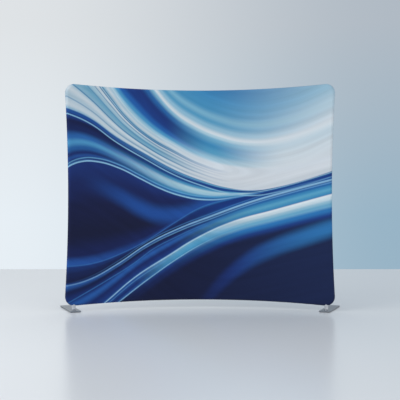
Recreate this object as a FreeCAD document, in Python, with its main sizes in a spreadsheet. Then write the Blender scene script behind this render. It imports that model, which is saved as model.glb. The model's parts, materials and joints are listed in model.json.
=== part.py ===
import FreeCAD, Part

import math
import os

# A curved fabric display wall: a stretch cover over a curved tube frame on two foot plates.
# The front of the wall is the hollow side and faces -Y. Lengths in mm, angles in degrees.

doc = FreeCAD.newDocument("partition_wall")
sizes = doc.addObject("Spreadsheet::Sheet", "Sizes")

GIVEN = [
    ("wall_height", 2300.0),
    ("cover_foot_gap", 58.0),
    ("corner_reach", 1341.0),
    ("plan_half_angle", 23.7),
    ("rail_tilt", 6.1),
    ("side_lean", 3.45),
    ("tube_radius", 22.5),
    ("tube_bore", 21.0),
    ("spigot_radius", 20.8),
    ("spigot_bore", 19.3),
    ("spigot_root_radius", 21.2),
    ("spigot_length", 60.0),
    ("spigot_root", 40.0),
    ("elbow_radius", 70.0),
    ("elbow_reach", 100.0),
    ("elbow_leg_rail", 45.0),
    ("elbow_leg_side", 20.0),
    ("splice_offset", 60.0),
    ("drilled_half", 12.0),
    ("button_radius", 4.0),
    ("button_hole", 4.08),
    ("button_seat", 18.8),
    ("button_height", 7.6),
    ("button_inset", 34.0),
    ("side_button_turn", 10.0),
    ("spring_width", 8.0),
    ("spring_thickness", 1.0),
    ("spring_tip", 6.0),
    ("spring_knee", 8.0),
    ("spring_bend", 33.0),
    ("pole_radius", 16.0),
    ("pole_bore", 14.5),
    ("pole_spigot", 14.3),
    ("pole_spigot_bore", 12.8),
    ("pole_root_radius", 14.7),
    ("pole_button_seat", 11.9),
    ("pole_collar", 34.0),
    ("collar_start", 15.0),
    ("pole_stub", 50.0),
    ("saddle_radius", 24.8),
    ("saddle_length", 60.0),
    ("saddle_half_wrap", 60.0),
    ("cloth_gap", 1.5),
    ("cloth_thickness", 0.8),
    ("cloth_trim", 1.2),
    ("band_gap", 0.6),
    ("post_x", 1279.0),
    ("post_y", 26.0),
    ("post_radius", 19.0),
    ("post_top", 46.0),
    ("post_slot", 21.5),
    ("bolt_radius", 5.0),
    ("bolt_bore", 5.08),
    ("bolt_head_radius", 8.5),
    ("bolt_head_height", 6.4),
    ("bolt_head_pocket", 9.2),
    ("bolt_tip", 56.0),
    ("bolt_head_recess", 3.0),
    ("socket_length", 40.0),
    ("foot_yaw", 22.5),
    ("foot_width", 110.0),
    ("foot_front", 90.0),
    ("foot_back", 385.0),
    ("foot_thickness", 10.0),
    ("foot_corner", 6.0),
    ("foot_edge", 1.0),
    ("pad_thickness", 3.0),
    ("pad_margin", 8.0),
    ("pad_hole", 12.0),
    ("swivel_gap", 0.3),
    ("zip_direction", 60.0),
    ("zip_half_run", 1120.0),
    ("tape_width", 16.0),
    ("tape_thickness", 0.9),
    ("stack_gap", 0.05),
    ("coil_width", 5.0),
    ("coil_height", 2.2),
    ("slider_width", 10.0),
    ("slider_length", 15.0),
    ("slider_height", 5.6),
    ("slider_lift", 0.3),
    ("slider_slack", 0.35),
    ("slider_start", 20.0),
    ("tunnel_spare", 5.0),
    ("bridge_length", 6.0),
    ("bridge_width", 4.0),
    ("bridge_height", 4.6),
    ("bridge_root", 0.5),
    ("pull_width", 7.0),
    ("pull_length", 34.0),
    ("pull_thickness", 1.6),
    ("pull_pin_radius", 1.0),
    ("pull_pin_hole", 1.08),
    ("pull_pin_rise", 2.4),
    ("pull_nose", 1.2),
    ("pull_slot", 4.4),
    ("pull_play", 0.6),
]
for row, (alias, value) in enumerate(GIVEN, 1):
    sizes.set("A%d" % row, alias)
    sizes.set("B%d" % row, str(value))
    sizes.setAlias("B%d" % row, alias)
doc.recompute()
S = {alias: float(sizes.get(alias)) for alias, _ in GIVEN}
next_row = [len(GIVEN) + 1]

V = FreeCAD.Vector
nodes = []


def known(alias, value):
    """Put a worked-out size on the sheet too, so that objects can be bound to it."""
    row = next_row[0]
    next_row[0] += 1
    sizes.set("A%d" % row, alias)
    sizes.set("B%d" % row, repr(round(value, 9)))
    sizes.setAlias("B%d" % row, alias)
    S[alias] = value
    return value


def sin(degrees):
    return math.sin(math.radians(degrees))


def cos(degrees):
    return math.cos(math.radians(degrees))


def unit(v):
    return v * (1.0 / v.Length)


def bind(obj, **formulas):
    for prop, alias in formulas.items():
        obj.setExpression(prop, "Sizes." + alias)


def keep(obj, label):
    obj.Label = label
    nodes.append(obj)
    return obj


def frame_at(point, x_axis, z_axis):
    y_axis = z_axis.cross(x_axis)
    return FreeCAD.Placement(point, FreeCAD.Rotation(x_axis, y_axis, z_axis, "ZXY"))


class Run:
    """A circular run of tube centreline: it starts at a point and curves to a centre."""

    def __init__(self, name, start, tangent, toward_centre, radius):
        self.name = name
        self.radius = radius
        self.centre = start + toward_centre * radius
        self.out = toward_centre * -1.0
        self.axis = unit(self.out.cross(tangent))
        self.radius_alias = name + "_radius"
        known(self.radius_alias, radius)

    def turn(self, along):
        return FreeCAD.Rotation(self.axis, math.degrees(along / self.radius))

    def outward(self, along):
        return self.turn(along).multVec(self.out)

    def point(self, along):
        return self.centre + self.outward(along) * self.radius

    def tangent(self, along):
        return self.axis.cross(self.outward(along))

    def bar(self, name, begin, end, radius_alias, wrap=None):
        """A round bar along the run from one distance to another."""
        bar = doc.addObject("Part::Torus", name)
        bar.Placement = frame_at(self.centre, self.outward(begin), self.axis)
        angle = name + "_angle"
        known(angle, math.degrees((end - begin) / self.radius))
        bind(bar, Radius1=self.radius_alias, Radius2=radius_alias, Angle3=angle)
        if wrap:
            bar.Angle1 = wrap[0]
            bar.Angle2 = wrap[1]
        return bar


def fuse(name, shapes):
    if len(shapes) == 1:
        return shapes[0]
    joined = doc.addObject("Part::MultiFuse", name)
    joined.Shapes = shapes
    return joined


def cut(name, base, tools):
    result = doc.addObject("Part::Cut", name)
    result.Base = base
    result.Tool = fuse(name + "_tools", tools)
    return result


def rod(name, point, direction, radius_alias, length_alias):
    rod_obj = doc.addObject("Part::Cylinder", name)
    aim = FreeCAD.Rotation(V(0, 0, 1), direction)
    # The seam of a rod's surface is turned away from the tubes' own lines.
    rod_obj.Placement = FreeCAD.Placement(point, aim * FreeCAD.Rotation(V(0, 0, 1), 90.0))
    bind(rod_obj, Radius=radius_alias, Height=length_alias)
    return rod_obj


known("hole_length", 2.0 * S["tube_radius"])
cloth_far = S["tube_radius"] + S["cloth_gap"] + S["cloth_thickness"]
band_inner = S["tube_radius"] + S["band_gap"]
band_outer = band_inner + S["cloth_thickness"]

# The four corners. Rails bow backwards and towards the middle of the wall, sides bow inwards.
plan_half = S["plan_half_angle"]
tilt = S["rail_tilt"]
lean = S["side_lean"]
end_turn = math.degrees(math.atan2(sin(plan_half) * cos(tilt), cos(plan_half)))
middle_z = 0.5 * (S["wall_height"] + S["cover_foot_gap"])


def corner(side, level):
    """Directions and points of one corner. side is -1 left, 1 right; level 1 top, -1 bottom."""
    along_rail = V(-side * cos(plan_half), sin(plan_half) * cos(tilt),
                   -level * sin(plan_half) * sin(tilt))
    along_side = V(-side * sin(lean) * cos(end_turn), sin(lean) * sin(end_turn),
                   -level * cos(lean))
    inner_angle = math.degrees(along_rail.getAngle(along_side))
    reach = S["elbow_radius"] / math.tan(math.radians(inner_angle / 2.0))
    rise = (S["wall_height"] - band_outer - middle_z) + reach * sin(plan_half) * sin(tilt)
    tip = V(side * S["corner_reach"], 0.0, middle_z + level * rise)
    rail_end = tip + along_rail * reach
    side_end = tip + along_side * reach
    inward = unit(along_rail + along_side)
    centre = tip + inward * (S["elbow_radius"] / sin(inner_angle / 2.0))
    return {
        "rail_end": rail_end,
        "side_end": side_end,
        "along_rail": along_rail,
        "along_side": along_side,
        "centre": centre,
        "bend": 180.0 - inner_angle,
    }


# The wall's middle lies over the middle of its footprint, so the plan is moved along Y.
foot_back_y = S["post_y"] + S["foot_back"] * cos(S["foot_yaw"])
foot_back_y += 0.5 * S["foot_width"] * sin(S["foot_yaw"])
foot_front_y = S["post_y"] - S["foot_front"] * cos(S["foot_yaw"])
foot_front_y -= 0.5 * S["foot_width"] * sin(S["foot_yaw"])
shift_y = known("plan_shift", -0.5 * (foot_front_y + foot_back_y))

corners = {}
for side_name, side in (("left", -1), ("right", 1)):
    for level_name, level in (("top", 1), ("bottom", -1)):
        data = corner(side, level)
        for key in ("rail_end", "side_end", "centre"):
            data[key] = data[key] + V(0, shift_y, 0)
        corners[level_name + "_" + side_name] = data

rail_run = {}
for level_name, level in (("top", 1), ("bottom", -1)):
    data = corners[level_name + "_right"]
    radius = data["rail_end"].x / sin(plan_half)
    to_centre = V(-sin(plan_half), -cos(plan_half) * cos(tilt),
                  level * cos(plan_half) * sin(tilt))
    rail_run[level_name] = Run(
        level_name + "_rail", data["rail_end"], data["along_rail"], to_centre, radius
    )
side_run = {}
for side_name, side in (("left", -1), ("right", 1)):
    data = corners["top_" + side_name]
    radius = (data["side_end"].z - middle_z) / sin(lean)
    to_centre = V(side * cos(lean) * cos(end_turn), -cos(lean) * sin(end_turn), -sin(lean))
    # The centre of a side's bow lies outside the wall.
    side_run[side_name] = Run(
        side_name + "_side", data["side_end"], data["along_side"], to_centre, radius
    )
rail_length = math.radians(2.0 * plan_half) * rail_run["top"].radius
side_length = math.radians(2.0 * lean) * side_run["left"].radius
elbow_run = {}
for name, data in corners.items():
    to_centre = unit(data["centre"] - data["rail_end"])
    elbow_run[name] = Run(
        name + "_elbow", data["rail_end"], data["along_rail"] * -1.0, to_centre, S["elbow_radius"]
    )
bend_length = math.radians(corners["top_left"]["bend"]) * S["elbow_radius"]


def press_way(run, along):
    """The way a side's button stands out: into the wall and a little towards its back."""
    backward = run.axis if run.axis.y > 0 else run.axis * -1.0
    return run.outward(along) * cos(S["side_button_turn"]) + backward * sin(S["side_button_turn"])


def button_at(name, run, along, direction, back):
    """A snap button and its V spring inside a spigot. back is the way to the spigot's root."""
    point = run.point(along)
    button = rod(name + "_snap_button", point + direction * S["button_seat"], direction,
                 "button_radius", "button_height")
    keep(button, name + "_snap_button")
    spring_at(name, point, direction, run.tangent(along) * back, S["button_seat"])


def spring_at(name, point, direction, to_mouth, seat):
    """A leaf spring bent to a V. Its bend lies towards the root, its tips press outwards."""
    low = seat - S["spring_thickness"]
    tip, knee, bend = S["spring_tip"], -S["spring_knee"], -S["spring_bend"]
    inner_bend = bend + 2.0 * S["spring_thickness"]
    outline = [
        (tip, seat), (knee, seat), (bend, 1.0), (bend, -1.0), (knee, -seat), (tip, -seat),
        (tip, -low), (knee, -low), (inner_bend, 0.0), (knee, low), (tip, low),
    ]
    across = unit(to_mouth.cross(direction))
    corner_points = [
        point + to_mouth * u + direction * v - across * (0.5 * S["spring_width"])
        for u, v in outline
    ]
    face = Part.Face(Part.makePolygon(corner_points + corner_points[:1]))
    spring = doc.addObject("Part::Feature", name + "_snap_spring")
    spring.Shape = face.extrude(across * S["spring_width"])
    keep(spring, name + "_snap_spring")


def hole_at(name, point, direction):
    return rod(name, point, direction, "button_hole", "hole_length")


def mirror(name, source, normal):
    mirrored = doc.addObject("Part::Mirroring", name)
    mirrored.Source = source
    mirrored.Base = V(0, 0, middle_z)
    mirrored.Normal = normal
    return keep(mirrored, name)


# Elbows: a heavy bend with a short leg each way and two spigots for the tubes. The right
# ones are the left ones mirrored across.
leg_r, leg_s = S["elbow_leg_rail"], S["elbow_leg_side"]
plug = S["spigot_length"]
inset = S["button_inset"]
for name in corners:
    level_name, side_name = name.split("_")
    rail, side_tube, bend_run = rail_run[level_name], side_run[side_name], elbow_run[name]
    # Both rail runs start at the right, both side runs start at the top.
    if side_name == "right":
        r_leg, r_plug, r_button, r_way = (0, leg_r), (leg_r, leg_r + plug), leg_r + inset, 1
    else:
        r_leg = (rail_length - leg_r, rail_length)
        r_plug = (rail_length - leg_r - plug, rail_length - leg_r)
        r_button, r_way = rail_length - leg_r - inset, -1
    if level_name == "top":
        s_leg, s_plug, s_button, s_way = (0, leg_s), (leg_s, leg_s + plug), leg_s + inset, 1
        rail_inward = rail.axis * -1.0
    else:
        s_leg = (side_length - leg_s, side_length)
        s_plug = (side_length - leg_s - plug, side_length - leg_s)
        s_button, s_way = side_length - leg_s - inset, -1
        rail_inward = rail.axis
    side_inward = press_way(side_tube, s_button)
    button_at(name + "_rail", rail, r_button, rail_inward, r_way)
    button_at(name + "_side", side_tube, s_button, side_inward, s_way)
    if side_name == "right":
        mirror(name + "_elbow", doc.getObject(level_name + "_left_elbow"), V(1, 0, 0))
        continue
    body = fuse(name + "_outside", [
        bend_run.bar(name + "_bend", 0, bend_length, "tube_radius"),
        rail.bar(name + "_leg_r", r_leg[0], r_leg[1], "tube_radius"),
        side_tube.bar(name + "_leg_s", s_leg[0], s_leg[1], "tube_radius"),
        rail.bar(name + "_plug_r", r_plug[0], r_plug[1], "spigot_radius"),
        side_tube.bar(name + "_plug_s", s_plug[0], s_plug[1], "spigot_radius"),
    ])
    hollow = [
        bend_run.bar(name + "_bend_bore", 0, bend_length, "spigot_bore"),
        rail.bar(name + "_bore_r", min(r_leg[0], r_plug[0]), max(r_leg[1], r_plug[1]),
                 "spigot_bore"),
        side_tube.bar(name + "_bore_s", min(s_leg[0], s_plug[0]), max(s_leg[1], s_plug[1]),
                      "spigot_bore"),
        hole_at(name + "_hole_r", rail.point(r_button), rail_inward),
        hole_at(name + "_hole_s", side_tube.point(s_button), side_inward),
    ]
    keep(cut(name + "_elbow", body, hollow), name + "_elbow")


def drilled(name, run, begin, end, outside, bore, holes):
    """Lengths of tube from begin to end, with each button hole in a short length of its own."""
    lengths = []
    start = begin
    for i, (at, direction) in enumerate(sorted(holes, key=lambda hole: hole[0])):
        low, high = at - S["drilled_half"], at + S["drilled_half"]
        lengths.append((start, low, None))
        lengths.append((low, high, hole_at("%s_hole_%d" % (name, i), run.point(at), direction)))
        start = high
    lengths.append((start, end, None))
    pieces = []
    for i, (low, high, hole) in enumerate(lengths):
        part = "%s_length_%d" % (name, i)
        hollow = [run.bar(part + "_bore", low, high, bore)]
        shell = cut(part, run.bar(part + "_outside", low, high, outside), hollow)
        pieces.append(cut(part + "_drilled", shell, [hole]) if hole else shell)
    return pieces


def tube(name, run, begin, end, holes, spigot_from=None, way=1):
    """A tube with button holes. With spigot_from it has a reduced end there, that way."""
    own = [hole for hole in holes if begin < hole[0] < end]
    pieces = drilled(name, run, begin, end, "tube_radius", "tube_bore", own)
    if spigot_from is not None:
        root = sorted((spigot_from - way * S["spigot_root"], spigot_from))
        nose = sorted((spigot_from, spigot_from + way * plug))
        pieces.append(cut(name + "_root",
                          run.bar(name + "_root_solid", root[0], root[1], "spigot_root_radius"),
                          [run.bar(name + "_root_bore", root[0], root[1], "spigot_bore")]))
        beyond = [hole for hole in holes if nose[0] < hole[0] < nose[1]]
        pieces += drilled(name + "_nose", run, nose[0], nose[1], "spigot_radius",
                          "spigot_bore", beyond)
    return keep(fuse(name, pieces), name)


# Rails: two lengths each, joined beside the middle so that the pole has the middle.
splice = 0.5 * rail_length + S["splice_offset"]
for level_name in ("top", "bottom"):
    rail = rail_run[level_name]
    inward = rail.axis * (-1.0 if level_name == "top" else 1.0)
    first, last = leg_r + inset, rail_length - leg_r - inset
    tube(level_name + "_rail_right", rail, leg_r, splice,
         [(first, inward), (splice + inset, inward)], splice, 1)
    tube(level_name + "_rail_left", rail, splice, rail_length - leg_r,
         [(last, inward), (splice + inset, inward)])
    button_at(level_name + "_rail_splice", rail, splice + inset, inward, 1)

# Sides: two lengths each. The lower left one is drawn at the top and mirrored down, and the
# right ones are the left ones mirrored across.
half_side = 0.5 * side_length
run = side_run["left"]
first = leg_s + inset
upper_holes = [(at, press_way(run, at)) for at in (first, half_side + inset)]
lower_holes = [(at, press_way(run, at)) for at in (first, half_side - inset)]
upper_tube = tube("left_side_upper", run, leg_s, half_side, upper_holes, half_side, 1)
plain_tube = tube("left_side_plain", run, leg_s, half_side, lower_holes)
nodes.remove(plain_tube)
lower_tube = mirror("left_side_lower", plain_tube, V(0, 0, 1))
mirror("right_side_upper", upper_tube, V(1, 0, 0))
mirror("right_side_lower", lower_tube, V(1, 0, 0))
for side_name in ("left", "right"):
    run = side_run[side_name]
    button_at(side_name + "_side_splice", run, half_side + inset,
              press_way(run, half_side + inset), 1)

# Centre pole: a saddle on each rail, and a straight pole of two lengths between them.
pole_top = rail_run["top"].point(0.5 * rail_length)
pole_foot = rail_run["bottom"].point(0.5 * rail_length)
rail = rail_run["top"]
name = "top_pole_saddle"
half = 0.5 * S["saddle_length"]
span = (0.5 * rail_length - half, 0.5 * rail_length + half)
clear = (span[0] - half, span[1] + half)
wrap = S["saddle_half_wrap"]
known("collar_length", S["pole_collar"] - S["collar_start"])
known("stub_length", S["pole_collar"] + S["pole_stub"] - S["collar_start"])
cup = rail.bar(name + "_cup", span[0], span[1], "saddle_radius", (90.0 - wrap, 90.0 + wrap))
cup_shell = cut(name + "_cup_shell", cup,
                [rail.bar(name + "_cup_seat", clear[0], clear[1], "tube_radius")])
start = pole_top - V(0, 0, S["collar_start"])
collar = rod(name + "_collar", start, V(0, 0, -1), "pole_radius", "collar_length")
stub = rod(name + "_stub", start, V(0, 0, -1), "pole_spigot", "stub_length")
stem = cut(name + "_stem", fuse(name + "_stem_solid", [collar, stub]),
           [rail.bar(name + "_stem_seat", clear[0], clear[1], "tube_radius")])
saddle = keep(fuse(name, [cup_shell, stem]), name)
mirror("bottom_pole_saddle", saddle, V(0, 0, 1))

pole_low = pole_foot.z + S["pole_collar"]
pole_high = pole_top.z - S["pole_collar"]
pole_middle = 0.5 * (pole_low + pole_high)
centre_line = V(0, pole_top.y, 0)
known("upper_pole_length", pole_high - pole_middle)
known("lower_pole_length", pole_middle - pole_low)
known("pole_nose_length", S["spigot_length"])
known("pole_root_length", S["spigot_root"])
known("pole_joint_length", S["spigot_length"] + S["spigot_root"])
middle_point = centre_line + V(0, 0, pole_middle)
lower_shell = cut(
    "pole_lower_shell",
    rod("pole_lower_outside", centre_line + V(0, 0, pole_low), V(0, 0, 1), "pole_radius",
        "lower_pole_length"),
    [rod("pole_lower_bore", centre_line + V(0, 0, pole_low), V(0, 0, 1), "pole_bore",
         "lower_pole_length")],
)
joint_solid = fuse("pole_joint_solid", [
    rod("pole_root", middle_point - V(0, 0, S["spigot_root"]), V(0, 0, 1), "pole_root_radius",
        "pole_root_length"),
    rod("pole_nose", middle_point, V(0, 0, 1), "pole_spigot", "pole_nose_length"),
])
joint = cut("pole_joint", joint_solid, [
    rod("pole_joint_bore", middle_point - V(0, 0, S["spigot_root"]), V(0, 0, 1),
        "pole_spigot_bore", "pole_joint_length"),
])
button_level = middle_point + V(0, 0, inset)
pole_out = V(1, 0, 0)
keep(cut("centre_pole_lower", fuse("pole_lower_joined", [lower_shell, joint]),
         [hole_at("pole_hole_low", button_level, pole_out)]), "centre_pole_lower")
upper_bores = [
    rod("pole_upper_bore", middle_point, V(0, 0, 1), "pole_bore", "upper_pole_length"),
    hole_at("pole_hole_high", button_level, pole_out),
]
upper_solid = rod("pole_upper_outside", middle_point, V(0, 0, 1), "pole_radius",
                  "upper_pole_length")
keep(cut("centre_pole_upper", upper_solid, upper_bores), "centre_pole_upper")
pole_button = rod("pole_splice_snap_button", button_level + pole_out * S["pole_button_seat"],
                  pole_out, "button_radius", "button_height")
keep(pole_button, "pole_splice_snap_button")
spring_at("pole_splice", button_level, pole_out, V(0, 0, 1), S["pole_button_seat"])

# Feet: a socket on the elbow, a bolt the foot turns on, a post welded to a flat plate.
known("post_length", S["post_top"] - S["pad_thickness"] - S["foot_thickness"])
known("foot_length", S["foot_front"] + S["foot_back"])
known("pad_length", S["foot_length"] - 2.0 * S["pad_margin"])
known("pad_width", S["foot_width"] - 2.0 * S["pad_margin"])
plate_low = S["pad_thickness"]
plate_high = plate_low + S["foot_thickness"]
head_low = plate_high - S["bolt_head_recess"] - S["bolt_head_height"]
known("pocket_depth", S["foot_thickness"] - S["bolt_head_recess"] + S["stack_gap"])
known("shank_length", S["bolt_tip"] - head_low - S["bolt_head_height"])
foot_pivot = {}
socket_blank = {}
socket_tap = {}
for side_name, side in (("left", -1), ("right", 1)):
    pivot = V(side * S["post_x"], S["post_y"] + shift_y, 0)
    foot_pivot[side_name] = pivot
    name = side_name + "_foot"
    up = V(0, 0, 1)
    elbow_name = "bottom_" + side_name
    rail, bend_run = rail_run["bottom"], elbow_run[elbow_name]
    seat_rail = (0, 2 * leg_r) if side == 1 else (rail_length - 2 * leg_r, rail_length)
    socket_low = pivot + up * (S["post_top"] + S["swivel_gap"])
    socket_bar = rod(name + "_socket_bar", socket_low, up, "post_radius", "socket_length")
    socket = cut(name + "_socket_blank", socket_bar, [
        bend_run.bar(name + "_seat_bend", 0, bend_length, "tube_radius"),
        rail.bar(name + "_seat_rail", seat_rail[0], seat_rail[1], "tube_radius"),
    ])
    shank = rod(name + "_shank", pivot + up * (head_low + S["bolt_head_height"]), up,
                "bolt_radius", "shank_length")
    head = rod(name + "_head", pivot + up * head_low, up, "bolt_head_radius", "bolt_head_height")
    bolt = fuse(name + "_bolt", [shank, head])
    keep(bolt, name + "_bolt")
    socket_blank[side_name] = socket
    tap = rod(name + "_tap", pivot + up * head_low, up, "bolt_radius", "shank_length")
    known(name + "_tap_length", S["bolt_tip"] - head_low)
    bind(tap, Height=name + "_tap_length")
    socket_tap[side_name] = tap
    # The plate runs from a short toe in front of the wall to a long heel behind it.
    yaw = FreeCAD.Rotation(V(0, 0, 1), -side * S["foot_yaw"])
    toe = pivot + yaw.multVec(V(-0.5 * S["foot_width"], -S["foot_front"], plate_low))
    plate_box = doc.addObject("Part::Box", name + "_plate_box")
    plate_box.Placement = FreeCAD.Placement(toe, yaw)
    bind(plate_box, Length="foot_width", Width="foot_length", Height="foot_thickness")
    doc.recompute()
    rounded = doc.addObject("Part::Fillet", name + "_plate_round")
    rounded.Base = plate_box
    rounded.Edges = [
        (i + 1, S["foot_corner"], S["foot_corner"])
        for i, edge in enumerate(plate_box.Shape.Edges)
        if abs(edge.tangentAt(edge.FirstParameter).z) > 0.9
    ]
    doc.recompute()
    eased = doc.addObject("Part::Fillet", name + "_plate_eased")
    eased.Base = rounded
    eased.Edges = [
        (i + 1, S["foot_edge"], S["foot_edge"])
        for i, edge in enumerate(rounded.Shape.Edges)
        if abs(edge.BoundBox.ZMin - plate_high) < 0.01 and edge.BoundBox.ZLength < 0.01
    ]
    plate = cut(name + "_plate", eased, [
        rod(name + "_plate_bore", pivot, up, "bolt_bore", "wall_height"),
        rod(name + "_plate_pocket", pivot + up * plate_low, up, "bolt_head_pocket",
            "pocket_depth"),
    ])
    keep(plate, name + "_plate")
    post = cut(name + "_post", rod(name + "_post_bar", pivot + up * plate_high, up,
                                   "post_radius", "post_length"),
               [rod(name + "_post_bore", pivot, up, "bolt_bore", "wall_height")])
    keep(post, name + "_post")
    margin = V(S["pad_margin"], S["pad_margin"], -plate_low)
    pad_box = doc.addObject("Part::Box", name + "_pad_sheet")
    pad_box.Placement = FreeCAD.Placement(toe + yaw.multVec(margin), yaw)
    bind(pad_box, Length="pad_width", Width="pad_length", Height="pad_thickness")
    keep(cut(name + "_pad", pad_box,
             [rod(name + "_pad_bore", pivot, up, "pad_hole", "pad_thickness")]), name + "_pad")
doc.recompute()
for side_name in ("left", "right"):
    name = side_name + "_foot"
    socket = cut(name + "_socket_bored", socket_blank[side_name], [socket_tap[side_name]])
    doc.recompute()
    # The bar's upper end beyond the tube is not part of the socket.
    pieces = sorted(socket.Shape.Solids, key=lambda solid: solid.CenterOfMass.z)
    lowest = doc.addObject("Part::Feature", name + "_socket_node")
    lowest.Shape = pieces[0]
    keep(lowest, name + "_socket")


# Cover edge: the fabric that wraps the outer half of the tubes, all the way round.
known("band_inner_radius", band_inner)
known("band_outer_radius", band_outer)
known("band_spare_radius", band_outer + 1.0)
seam_points = {"front": [], "back": []}


def seam(run, length, back_at_begin, radius):
    """Three points on the line where the cloth leaves the tube, on either side."""
    for face_name, sign in (("front", -1.0), ("back", 1.0)):
        trio = []
        for along in (0.0, 0.5 * length, length):
            carried = run.turn(along).multVec(back_at_begin)
            trio.append(run.point(along) + carried * (sign * radius))
        seam_points[face_name].append(trio)


# The half of each run that faces out of the wall: a top rail's upper half, and so on.
loop = [
    ("top_rail", rail_run["top"], rail_length, "top_right", (-180.0, 0.0)),
    ("top_left", elbow_run["top_left"], bend_length, "top_left", (-90.0, 90.0)),
    ("left_side", side_run["left"], side_length, "top_left", None),
    ("bottom_left", elbow_run["bottom_left"], bend_length, "bottom_left", (-90.0, 90.0)),
    ("bottom_rail", rail_run["bottom"], rail_length, "bottom_right", (0.0, 180.0)),
    ("bottom_right", elbow_run["bottom_right"], bend_length, "bottom_right", (-90.0, 90.0)),
    ("right_side", side_run["right"], side_length, "top_right", None),
    ("top_right", elbow_run["top_right"], bend_length, "top_right", (-90.0, 90.0)),
]
band_parts = []
for name, run, length, start, wrap in loop:
    label = "edge_" + name
    axis = elbow_run[start].axis
    backward = axis if axis.y > 0 else axis * -1.0
    seam(run, length, backward, 0.5 * (band_inner + band_outer))
    outer = run.bar(label + "_outer", 0, length, "band_outer_radius", wrap)
    removed = [run.bar(label + "_inner", 0, length, "band_inner_radius")]
    if wrap is None:
        # A side's bow is centred outside the wall, so its inner half is what is taken off.
        shell = cut(label + "_ring", outer, removed)
        removed = [run.bar(label + "_spare", 0, length, "band_spare_radius", (-90.0, 90.0))]
        outer = shell
    band_parts.append(cut(label, outer, removed))
whole_band = fuse("edge_band", band_parts)
slots = []
for side_name in ("left", "right"):
    slots.append(rod("edge_slot_" + side_name, foot_pivot[side_name], V(0, 0, 1), "post_slot",
                     "wall_height"))
    bind(slots[-1], Height="elbow_reach")
keep(cut("cover_edge", whole_band, slots), "cover_edge")

# Cover faces: a front and a back sheet, each a slice of an upright cylinder cut to outline.
plan_centre_y = pole_top.y
half_chord = corners["top_right"]["rail_end"].x
sag = pole_top.y - corners["top_right"]["rail_end"].y
plan_radius = (half_chord * half_chord + sag * sag) / (2.0 * sag)
plan_centre = V(0, pole_top.y - plan_radius, 0)


def outline_solid(trios, centre):
    """A prism along Y with the outline of the seam lines, drawn in by the trim."""
    edges = []
    flat = []
    for trio in trios:
        flat.append([V(p.x, 0, p.z) for p in trio])
    trimmed = []
    for trio in flat:
        row = []
        for p in trio:
            inward = unit(centre - p)
            sideways = S["cloth_trim"] if abs(p.x) > 0.5 * S["corner_reach"] else 0.0
            upright = S["cloth_trim"] if abs(p.z - centre.z) > 0.4 * S["wall_height"] else 0.0
            row.append(p + V(math.copysign(sideways, inward.x), 0,
                             math.copysign(upright, inward.z)))
        trimmed.append(row)
    ring = list(range(len(trimmed)))
    for i in ring:
        a, b, c = trimmed[i]
        edges.append(Part.Arc(a, b, c).toShape())
    wire = Part.Wire(Part.__sortEdges__(edges))
    face = Part.Face(wire)
    depth = 2.0 * S["corner_reach"]
    face.translate(V(0, -0.5 * depth, 0))
    return face.extrude(V(0, depth, 0))


wall_centre = V(0, 0, middle_z)
cloth_near = S["tube_radius"] + S["cloth_gap"]
for face_name, inner, outer in (
    ("front", plan_radius - cloth_far, plan_radius - cloth_near),
    ("back", plan_radius + cloth_near, plan_radius + cloth_far),
):
    whole = Part.makeCylinder(outer, S["wall_height"], plan_centre, V(0, 0, 1))
    whole = whole.cut(Part.makeCylinder(inner, S["wall_height"], plan_centre, V(0, 0, 1)))
    prism = outline_solid(seam_points[face_name], wall_centre)
    near_half = Part.makeBox(2.0 * plan_radius, plan_radius, S["wall_height"],
                             V(-plan_radius, plan_centre.y + 0.5 * plan_radius, 0))
    sheet = doc.addObject("Part::Feature", "cover_%s_node" % face_name)
    sheet.Shape = whole.common(near_half).common(prism)
    keep(sheet, "cover_" + face_name)

# Zip: tape and coil along the lower back edge, a slider with a pull that hangs from it.
rail = rail_run["bottom"]
down = rail.axis * -1.0
zip_begin = 0.5 * rail_length - S["zip_half_run"]
zip_angle = math.degrees(2.0 * S["zip_half_run"] / rail.radius)
tape_inner = band_outer + S["stack_gap"]
tape_outer = tape_inner + S["tape_thickness"]


def strip_face(along, low, high, width):
    """A rectangle across the zip, from one distance out of the tube to another."""
    point = rail.point(along)
    back = rail.outward(along)
    out_way = down * cos(S["zip_direction"]) + back * sin(S["zip_direction"])
    across = back * cos(S["zip_direction"]) - down * sin(S["zip_direction"])
    half = 0.5 * width
    corner_points = [
        point + out_way * low - across * half, point + out_way * low + across * half,
        point + out_way * high + across * half, point + out_way * high - across * half,
    ]
    return Part.Face(Part.makePolygon(corner_points + corner_points[:1]))


tape = doc.addObject("Part::Feature", "zip_tape_node")
tape.Shape = strip_face(zip_begin, tape_inner, tape_outer, S["tape_width"]).revolve(
    rail.centre, rail.axis, zip_angle)
keep(tape, "zip_tape")

coil_low = tape_outer + S["stack_gap"]
coil_high = coil_low + S["coil_height"]
coil = doc.addObject("Part::Feature", "zip_coil_node")
coil.Shape = strip_face(zip_begin, coil_low, coil_high, S["coil_width"]).revolve(
    rail.centre, rail.axis, zip_angle)
keep(coil, "zip_coil")

slider_begin = zip_begin + S["slider_start"]
slider_angle = math.degrees(S["slider_length"] / rail.radius)
slack = S["slider_slack"]
slider_low = tape_outer + S["slider_lift"]
slider_high = slider_low + S["slider_height"]
body = strip_face(slider_begin, slider_low, slider_high, S["slider_width"]).revolve(
    rail.centre, rail.axis, slider_angle)
spare = S["tunnel_spare"]
tunnel_angle = math.degrees((S["slider_length"] + 2.0 * spare) / rail.radius)
tunnel = strip_face(slider_begin - spare, tape_inner, coil_high + slack,
                    S["coil_width"] + 2.0 * slack).revolve(rail.centre, rail.axis, tunnel_angle)
slider_middle = slider_begin + 0.5 * S["slider_length"]
pin_back = rail.outward(slider_middle)
zip_out = down * cos(S["zip_direction"]) + pin_back * sin(S["zip_direction"])
zip_across = pin_back * cos(S["zip_direction"]) - down * sin(S["zip_direction"])
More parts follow.
